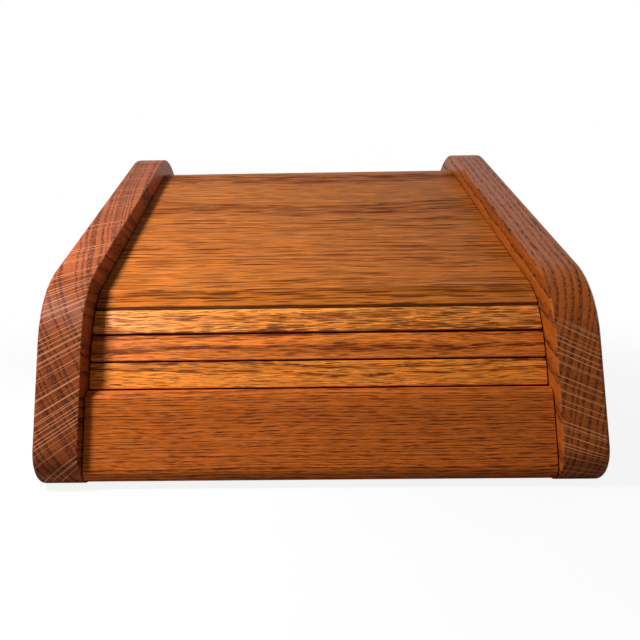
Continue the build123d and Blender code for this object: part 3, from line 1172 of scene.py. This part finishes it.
@dataclass
class CapDowels:
    """The four fluted dowels that hold the rear cap to the side boards."""

    radius: float = 4.0
    length: float = 30.0
    chamfer: float = 0.8
    flutes: float = 10.0
    flute_depth: float = 0.4
    sides: int = 80
    rings: int = 30

    def _dowel(self, shop: Workshop) -> Node:
        """Add the nodes of one dowel, a rod drawn in at its flutes and its chamfered ends.

        Args:
            shop: holds the dowels' tree.

        Returns:
            The node that gives the dowel, upright.
        """
        add, given = shop.add, shop.given
        part = add("ShaderNodeSeparateXYZ", add("GeometryNodeInputPosition")).outputs
        turn = add("ShaderNodeMath", part["Y"], part["X"], operation="ARCTAN2")
        turns = add("ShaderNodeMath", turn, given["Flutes"], operation="MULTIPLY")
        wave = add("ShaderNodeMath", turns, operation="COSINE")
        flute = add("ShaderNodeMapRange", wave, 0.0, 1.0, 0.0, given["Flute Depth"])
        half = add("ShaderNodeMath", given["Length"], 0.5, operation="MULTIPLY")
        away = add("ShaderNodeMath", part["Z"], operation="ABSOLUTE")
        to_end = add("ShaderNodeMath", half, away, operation="SUBTRACT")
        missing = add("ShaderNodeMath", given["Chamfer"], to_end, operation="SUBTRACT")
        bevel = add("ShaderNodeMath", missing, 0.0, operation="MAXIMUM")
        cut = add("ShaderNodeMath", flute, bevel, operation="ADD")
        radius = add("ShaderNodeMath", given["Radius"], cut, operation="SUBTRACT")
        share = add("ShaderNodeMath", radius, given["Radius"], operation="DIVIDE")
        return shop.turn("Radius", "Length", self.sides, self.rings, share)

    def build(self, finish: bpy.types.Material) -> None:
        """Make the four dowels as one piece.

        Args:
            finish: the dowels' wood.
        """
        low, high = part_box("cap_dowels")
        reach = self.radius * MM
        across = high.x - self.length * MM / 2
        values = {
            "Radius": reach,
            "Length": self.length * MM,
            "Chamfer": self.chamfer * MM,
            "Flutes": self.flutes,
            "Flute Depth": self.flute_depth * MM,
            "Low Place": (across, high.y - reach, low.z + reach),
            "High Place": (across, low.y + reach, high.z - reach),
            "Finish": finish,
        }
        shop = Workshop("fluted_dowels", values)
        add, given = shop.add, shop.given
        dowel = self._dowel(shop)
        pairs = []
        for side in (1.0, -1.0):
            low_end, high_end = (
                add("ShaderNodeVectorMath", given[label], (side, 1.0, 1.0), operation="MULTIPLY")
                for label in ("Low Place", "High Place")
            )
            ends = {"Count": 2, "Start Location": low_end, "Offset": high_end}
            pairs.append(add("GeometryNodeMeshLine", ends, mode="END_POINTS"))
        spots = add("GeometryNodeJoinGeometry", pairs)
        copies = add(
            "GeometryNodeInstanceOnPoints",
            {"Points": spots, "Instance": dowel, "Rotation": (0.0, math.pi / 2, 0.0)},
        )
        shop.close(copies)
        shop.make("fluted_cap_dowels", values, "cap_dowels", body="case")


@dataclass
class Inside:
    """Base, back, rear cap and stop blocks, with their dowels and screws."""

    # Node, heart of the log, middle of the board and place along the log
    shown_boards: tuple[tuple[str, Pair, Pair, float], ...] = (
        ("back_board", (40.0, 60.0), (144.0, 60.0), 130.0),
        ("rear_cap", (90.0, 20.0), (120.0, 145.0), 300.0),
    )
    hidden_boards: tuple[tuple[str, Pair, Pair, float], ...] = (
        ("base_board", (60.0, -90.0), (0.0, 8.0), 0.0),
        ("stop_block_left", (60.0, 40.0), (0.0, 120.0), 70.0),
        ("stop_block_right", (60.0, 40.0), (0.0, 120.0), 210.0),
    )

    def build(self) -> None:
        """Dress the boards behind the lid and make what fastens them."""
        stained = dict(
            summer="#ad5e24",
            spring="#8f4719",
            pore="#5c260a",
            ray="#b97833",
            streak="#6d3413",
            gloss=0.06,
        )
        bare = dict(
            summer="#c89a68",
            spring="#b07f50",
            pore="#7a5230",
            ray="#d6ad7c",
            streak="#a57446",
            gloss=0.04,
            roughness=0.6,
        )
        for wood, look, boards in (
            ("red_oak", stained, self.shown_boards), ("bare_oak", bare, self.hidden_boards)
        ):
            for node, heart, board, shift in boards:
                place = dict(heart=heart, board=board, shift=shift)
                dress(node, StainedOak(f"{wood}_{node}", Grain.WIDTH, ray_share=0.1, **place, **look))
        CapDowels().build(BareBeech().build())
        StopScrews().build(ZincSteel().build())


@dataclass(frozen=True)
class Softbox:
    """A round lamp with a soft edge to its shadows."""

    name: str
    direction: Triple  # where it hangs, as seen from the box
    distance: float  # metres from the box
    size: float  # metres across
    level: float  # light that a white surface facing the lamp sends back

    def hang(self, aim: Triple) -> None:
        """Hang the lamp.

        Args:
            aim: the place that it faces.
        """
        lamp = bpy.data.lights.new(self.name, "AREA")
        lamp.shape = "DISK"
        lamp.size = self.size
        lamp.energy = self.level * (math.pi * self.distance) ** 2
        holder = put_in_scene(self.name, lamp)
        way = Vector(self.direction).normalized()
        holder.location = Vector(aim) + way * self.distance
        holder.rotation_euler = way.to_track_quat("Z", "Y").to_euler()
        LOG.info("%s hangs %.2f m from the box", self.name, self.distance)


@dataclass
class Studio:
    """Floor, light and camera."""

    floor_size: float = 12.0  # metres
    floor_colour: str = "#f3f2f0"
    bounce_colour: str = "#9c9a96"
    shadow_reach: float = 0.2  # metres from the box's middle within which the floor takes shadow
    shadow_end: float = 0.5  # metres from which it is plain white
    floor_glow: float = 0.88  # share of plain white in the floor near the box
    aim: Triple = (0.0, -0.06, 0.08)  # metres
    # The key lamp hangs at the upper left in front, the soft one low at the right rear
    lamps: tuple[Softbox, ...] = (
        Softbox("key_softbox", (-0.30, -0.19, 0.30), distance=0.465, size=0.10, level=1.36),
        Softbox("rear_softbox", (0.90, 0.42, 0.22), distance=1.6, size=0.9, level=0.35),
    )
    world_level: float = 0.15
    eye: Triple = (-9.76, -462.96, 145.49)  # millimetres
    pitch: float = 10.5  # degrees down
    yaw: float = -0.938  # degrees to the right
    roll: float = -0.873  # degrees, the camera's right side up
    focal_px: float = 634.6  # in picture elements of a frame that is frame_px wide
    middle_px: float = 287.8
    frame_px: float = 640.0

    def build(self) -> None:
        """Make the whole studio."""
        self._floor()
        for lamp in self.lamps:
            lamp.hang(self.aim)
        self._world()
        self._camera()

    def _floor(self) -> None:
        """Lay the pale floor under the box."""
        half = self.floor_size / 2
        mesh = bpy.data.meshes.new("studio_floor")
        corners = [(-half, -half, 0), (half, -half, 0), (half, half, 0), (-half, half, 0)]
        mesh.from_pydata(corners, [], [(0, 1, 2, 3)])
        floor = put_in_scene("studio_floor", mesh)
        material, add = start_material("matt_white_paper")
        seen = add("ShaderNodeLightPath").outputs["Is Camera Ray"]
        # The wood sees a pale grey floor, the eye a white one with the box's shadow on it
        tone = {0: seen, 6: linear(self.bounce_colour), 7: linear(self.floor_colour)}
        colour = add("ShaderNodeMix", tone, data_type="RGBA").outputs[2]
        paper = add("ShaderNodeBsdfDiffuse", {"Color": colour})
        bright = add("ShaderNodeEmission", {"Color": WHITE, "Strength": 1.0})
        spot = add("ShaderNodeTexCoord").outputs["Object"]
        far = add("ShaderNodeVectorMath", spot, operation="LENGTH").outputs["Value"]
        glow = (self.shadow_reach, self.shadow_end, self.floor_glow, 1.0)
        white = add("ShaderNodeMapRange", far, *glow, interpolation_type="SMOOTHSTEP")
        share = add("ShaderNodeMath", seen, white, operation="MULTIPLY")
        mixed = add("ShaderNodeMixShader", share, paper, bright)
        add("ShaderNodeOutputMaterial", {"Surface": mixed})
        mesh.materials.append(material)
        LOG.info("%s is %.0f m wide", floor.name, self.floor_size)

    def _world(self) -> None:
        """Fill the room with soft white light, seen as plain white."""
        world = bpy.data.worlds.new("white_room")
        bpy.context.scene.world = world
        world.use_nodes = True
        world.node_tree.nodes.clear()
        add = partial(add_node, world.node_tree)
        path = add("ShaderNodeLightPath").outputs
        shown = add("ShaderNodeMath", path["Is Camera Ray"], path["Is Glossy Ray"], operation="MAXIMUM")
        seen = add("ShaderNodeMath", shown, path["Is Transmission Ray"], operation="MAXIMUM")
        level = add("ShaderNodeMapRange", seen, 0.0, 1.0, self.world_level, 1.0)
        background = add("ShaderNodeBackground", {"Color": WHITE, "Strength": level})
        add("ShaderNodeOutputWorld", {"Surface": background})

    def _camera(self) -> None:
        """Set the camera in front of the box, a little left of its middle."""
        pitch, yaw, roll = (math.radians(a) for a in (self.pitch, self.yaw, self.roll))
        ahead = Vector(
            (math.sin(yaw) * math.cos(pitch), math.cos(yaw) * math.cos(pitch), -math.sin(pitch))
        )
        level_right = ahead.cross(Vector((0, 0, 1))).normalized()
        level_up = level_right.cross(ahead)
        right = level_right * math.cos(roll) + level_up * math.sin(roll)
        up = level_up * math.cos(roll) - level_right * math.sin(roll)
        lens = bpy.data.cameras.new("camera")
        lens.sensor_width = SENSOR_MM
        lens.lens = SENSOR_MM * self.focal_px / self.frame_px
        lens.shift_x = 0.5 - self.middle_px / self.frame_px
        camera = put_in_scene("camera", lens)
        turn = Matrix((right, up, -ahead)).transposed().to_4x4()
        camera.matrix_world = Matrix.Translation(Vector(self.eye) * MM) @ turn
        bpy.context.scene.camera = camera


def main() -> None:
    """Build every sub-assembly in order."""
    logging.basicConfig(level=logging.INFO, format="%(name)s: %(message)s")
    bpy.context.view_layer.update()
    bpy.context.scene.view_settings.view_transform = "Standard"
    Studio().build()
    SideBoards().build()
    Lid().build()
    Inside().build()


if __name__ == "__main__":
    main()
